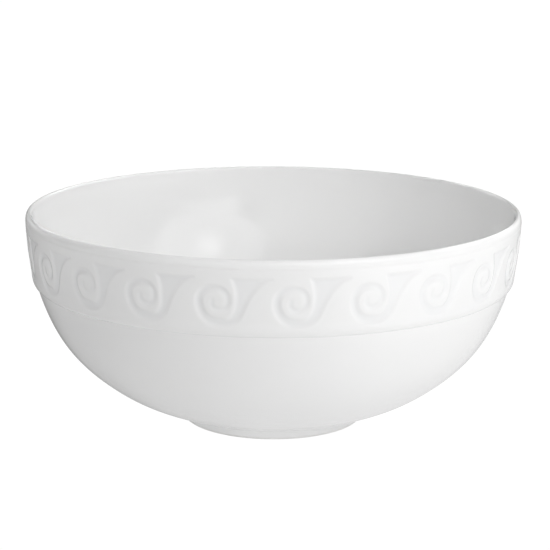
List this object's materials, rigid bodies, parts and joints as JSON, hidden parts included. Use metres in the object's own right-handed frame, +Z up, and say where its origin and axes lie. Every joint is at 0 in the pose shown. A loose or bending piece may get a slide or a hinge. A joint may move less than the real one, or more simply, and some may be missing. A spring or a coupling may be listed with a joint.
{
  "type": "serving bowl",
  "caption": "Round white porcelain serving bowl with a raised band of running scrolls below the lip and a low foot ring.",
  "frame": {"origin": "on the bowl's axis, on the plane that the foot ring rests on", "axes": "+Z up along the bowl's axis of revolution; the scroll band is seen from -Y and reads left to right along +X"},
  "size_m": [0.2496, 0.2496, 0.1085],
  "materials": {
    "porcelain_body": "fired, matte where bare",
    "frieze_porcelain": "gloss clear glaze over white",
    "foot_porcelain": "glazed on the sides, bare and matte on the resting face",
    "clear_glaze": "gloss"
  },
  "bodies": {
    "root": {"bowl_body": "porcelain_body", "frieze_band": "frieze_porcelain", "foot_ring": "foot_porcelain", "liner_glaze": "clear_glaze", "outer_glaze": "clear_glaze", "base_glaze": "clear_glaze"}
  },
  "joints": []
}
